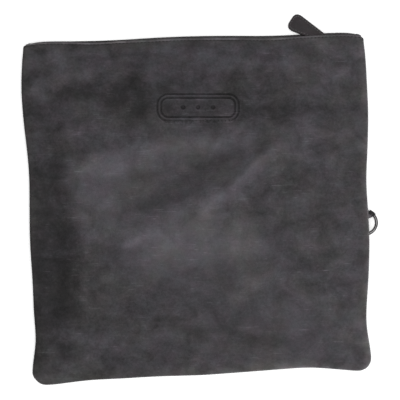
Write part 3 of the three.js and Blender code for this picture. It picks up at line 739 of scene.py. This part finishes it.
stitch = {
    "length": 2.2 * mm, "width": 0.9 * mm, "height": 0.55 * mm,
    "pitch": 3.4 * mm, "inset": 2.4 * mm, "ends": 8 * mm,
    "sink": 0.08 * mm, "backSink": 0.2 * mm,  # the back's are deeper, to stay above the floor
    "sides": 8, "rings": 6,
}


def addStitch(bm, place, heading, facing, length=stitch["length"]):
    side = facing.cross(heading).normalized()
    heading = side.cross(facing).normalized()
    turn = Matrix((heading, side, facing)).transposed().to_4x4()
    size = Matrix.Diagonal((length / 2, stitch["width"] / 2, stitch["height"] / 2, 1))
    bmesh.ops.create_uvsphere(
        bm, u_segments=stitch["sides"], v_segments=stitch["rings"], radius=1.0,
        matrix=Matrix.Translation(place - facing * stitch["sink"]) @ turn @ size,
    )


def hemStitches(piece, lines, outward, name):
    tree = treeOf(piece)
    places = [v.co.x for v in piece.data.vertices]
    first = math.ceil((min(places) + stitch["ends"]) / stitch["pitch"])
    last = math.floor((max(places) - stitch["ends"]) / stitch["pitch"])
    sink = stitch["backSink"] if outward < 0 else 0.0
    bm = bmesh.new()
    for k in range(first, last + 1):
        x = k * stitch["pitch"]
        y = lines["hem"](x) - stitch["inset"] - hemShift(x) * mm
        ahead = lines["hem"](x + stitch["pitch"]) - lines["hem"](x - stitch["pitch"])
        heading = Vector((2 * stitch["pitch"], ahead, 0)).normalized()
        start = Vector((x, y, outward * 0.1))
        place, normal, _, _ = tree.ray_cast(start, Vector((0, 0, -outward)))
        addStitch(bm, place - normal * sink, heading, normal)
    return addPiece(bm, name, [thread])


frontStitches = hemStitches(frontPanel, frontLines, 1, "frontStitches")
backStitches = hemStitches(backPanel, backLines, -1, "backStitches")
print("stitches made")


# zip

tooth = {
    "pitch": 1.25 * mm, "length": 0.95 * mm, "depth": 2.3 * mm, "height": 2.7 * mm,
    "offset": 0.65 * mm, "round": 0.22 * mm,
}


# the middle line of the chain's bar, from the four corners of each of its cross-sections
def chainLine():
    bm = copyOfNode("zip_chain")
    places = sorted((v.co.copy() for v in bm.verts), key=lambda place: place.x)
    bm.free()
    groups = [places[k:k + 4] for k in range(0, len(places), 4)]
    return [sum(group, Vector()) / len(group) for group in groups]


def makeTeeth():
    line = chainLine()
    spans = [(a, b, (b - a).length) for a, b in zip(line, line[1:])]
    total = sum(length for _, _, length in spans)
    bm = bmesh.new()
    count = int(total / tooth["pitch"])
    for k in range(count):
        left = (k + 0.5) * tooth["pitch"]
        for a, b, length in spans:
            if left <= length:
                break
            left -= length
        heading = (b - a).normalized()
        facing = Vector((0, 0, 1)).cross(heading).normalized()
        turn = Matrix((heading, facing, Vector((0, 0, 1)))).transposed().to_4x4()
        side = tooth["offset"] if k % 2 else -tooth["offset"]
        size = Matrix.Diagonal((tooth["length"], tooth["depth"], tooth["height"], 1))
        place = a + heading * left + Vector((0, 0, side))
        made = bmesh.ops.create_cube(bm, size=1.0, matrix=Matrix.Translation(place) @ turn @ size)
        edges = list(dict.fromkeys(e for v in made["verts"] for e in v.link_edges))
        roundEdges(bm, edges, tooth["round"], 1)
    return addPiece(bm, "zipTeeth", [toothMetal], "zip_chain")


zipTeeth = makeTeeth()
for node in ("zip_tape_front", "zip_tape_back"):
    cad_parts[node].material_slots[0].material = tapeCloth

slider = {"sharp": 40, "round": 0.25 * mm}
bm = copyOfNode("zip_slider")
roundEdges(bm, sharpEdges(bm, slider["sharp"]), slider["round"], 2)
zipSlider = addPiece(bm, "zipSlider", [darkNickel], "zip_slider")
bm = copyOfNode("pull_link")
pullLink = addPiece(bm, "pullLink", [darkNickel], "pull_link")
subdivide(pullLink, 1)
print("zip made", len(zipTeeth.data.polygons))


# leather pull

pull = {
    "sharp": 50, "round": 0.45 * mm,
    "inset": 1.8 * mm, "pitch": 2.9 * mm, "length": 1.9 * mm,
    "flatness": 0.95, "clear": 0.5 * mm, "calm": 0.6,
}


# the places round the outer border of the pull's upper or lower face, in order
def borderOf(bm, facing):
    rim = []
    for edge in bm.edges:
        turns = sorted(face.normal.dot(facing) for face in edge.link_faces)
        if len(turns) == 2 and turns[1] > pull["flatness"] and turns[0] < pull["flatness"]:
            rim.append(edge)
    vertex = min((v for e in rim for v in e.verts), key=lambda v: v.co.x)
    places, used = [], set()
    while True:
        ahead = [e for e in vertex.link_edges if e in rim and e not in used]
        if not ahead:
            return places
        used.add(ahead[0])
        places.append(vertex.co.copy())
        vertex = ahead[0].other_vert(vertex)


# stitches round one face of the pull, none where it touches the floor
def sewPull(bm, places, facing):
    middle = sum(places, Vector()) / len(places)
    left = pull["pitch"] / 2
    for a, b in zip(places, places[1:] + places[:1]):
        heading = (b - a).normalized()
        inward = facing.cross(heading)
        if inward.dot(middle - a) < 0:
            inward.negate()
        while left < (b - a).length:
            place = a + heading * left + inward * pull["inset"]
            if place.z > pull["clear"]:
                addStitch(bm, place, heading, facing, pull["length"])
            left += pull["pitch"]
        left -= (b - a).length


bm = copyOfNode("pull_tab")
bm.normal_update()
pullFacing = max((f.normal.copy() for f in bm.faces), key=lambda normal: normal.z)
sewn = bmesh.new()
for facing in (pullFacing, -pullFacing):
    sewPull(sewn, borderOf(bm, facing), facing)
addPiece(sewn, "pullStitches", [pullThread])
roundEdges(bm, sharpEdges(bm, pull["sharp"]), pull["round"], 3)
for face in bm.faces:
    face.material_index = 0 if abs(face.normal.dot(pullFacing)) > pull["flatness"] else 1
pullTab = addPiece(bm, "pullTab", [pullLeather, paintedEdge], "pull_tab", pullFacing)
addAttribute(pullTab, "calm", lambda co, n: pull["calm"])
print("pull made")


# ring and its loop

bm = copyOfNode("d_ring")
dRing = addPiece(bm, "dRing", [darkNickel], "d_ring")
subdivide(dRing, 1)

# dark is painted shade over the wire and along the strip's edges, pale is painted light on its flat part
loop = {
    "sharp": 50, "round": 0.16 * mm, "cuts": 2,
    "wire": 3.3 * mm, "angle": 54, "slant": 0.65, "curl": 1.5 * mm,
    "half": 2.8 * mm, "rim": 1.0 * mm, "steep": 1.4, "fade": 1.4 * mm,
    "dark": -0.34, "pale": 0.56,
}
low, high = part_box("d_ring")
ringRadius = (high[1] - low[1] - loop["wire"]) / 2
ringMiddle = Vector((high[0] - (high[1] - low[1]) / 2, (low[1] + high[1]) / 2, 0))
loopAngle = math.radians(loop["angle"])
loopFacing = Vector((math.cos(loopAngle), math.sin(loopAngle), 0))
bm = copyOfNode("ring_loop")
roundEdges(bm, sharpEdges(bm, loop["sharp"]), loop["round"], 2)
bmesh.ops.subdivide_edges(bm, edges=bm.edges, cuts=loop["cuts"], use_grid_fill=True)
ringLoop = addPiece(bm, "ringLoop", [loopLeather], "ring_loop")


# painted shade over the wire, where the strip bends down, and along the strip's edges, where its dark
# cut edge also shows; painted light on its flat part on the way into the seam
def loopLightAndShade(co, normal):
    away = Vector((co.x, co.y, 0)) - ringMiddle
    back = max(ringRadius - loop["curl"] - away.dot(loopFacing), 0.0)
    off = abs(away.dot(Vector((-loopFacing.y, loopFacing.x, 0))) - loop["slant"] * back)
    inside = 1 - smooth((off - loop["half"] + loop["rim"]) / loop["rim"] * loop["steep"])
    return loop["dark"] + (loop["pale"] - loop["dark"]) * smooth(back / loop["fade"]) * inside


addAttribute(ringLoop, "tone", loopLightAndShade)
print("ring made")


# floor and light

studio = {
    "world": 0.62,
    "floorSize": 30.0, "floorGap": 0.4 * mm, "floorShade": 0.92, "floorGlow": 0.25,
    "softboxes": [
        {"name": "overhead softbox", "power": 22.0, "size": 0.9, "place": (0.05, -0.1, 1.9)},
        {"name": "side softbox", "power": 10.0, "size": 0.5, "place": (1.3, -1.1, 0.9)},
    ],
}

bm = bmesh.new()
bmesh.ops.create_grid(bm, x_segments=1, y_segments=1, size=studio["floorSize"])
floorMesh = bpy.data.meshes.new("floor")
bm.to_mesh(floorMesh)
bm.free()
floor = bpy.data.objects.new("floor", floorMesh)
floor.location.z = cadLow.z - studio["floorGap"]
bpy.context.scene.collection.objects.link(floor)
floorLook = Nodes("pale floor")
floorLook.shader.inputs["Base Color"].default_value = (*[studio["floorShade"]] * 3, 1)
floorLook.shader.inputs["Roughness"].default_value = 0.9
floorLook.shader.inputs["Specular IOR Level"].default_value = 0.1
floorLook.shader.inputs["Emission Color"].default_value = (1, 1, 1, 1)
floorLook.shader.inputs["Emission Strength"].default_value = studio["floorGlow"]
floorMesh.materials.append(floorLook.material)

world = bpy.data.worlds.new("studio")
world.use_nodes = True
background = world.node_tree.nodes["Background"]
background.inputs["Color"].default_value = (1, 1, 1, 1)
background.inputs["Strength"].default_value = studio["world"]
bpy.context.scene.world = world


def addSoftbox(name, power, size, place):
    light = bpy.data.lights.new(name, "AREA")
    light.energy = power
    light.size = size
    lamp = bpy.data.objects.new(name, light)
    lamp.location = place
    lamp.rotation_euler = (-Vector(place)).to_track_quat("-Z", "Y").to_euler()
    bpy.context.scene.collection.objects.link(lamp)


for softbox in studio["softboxes"]:
    addSoftbox(**softbox)
print("stage set")
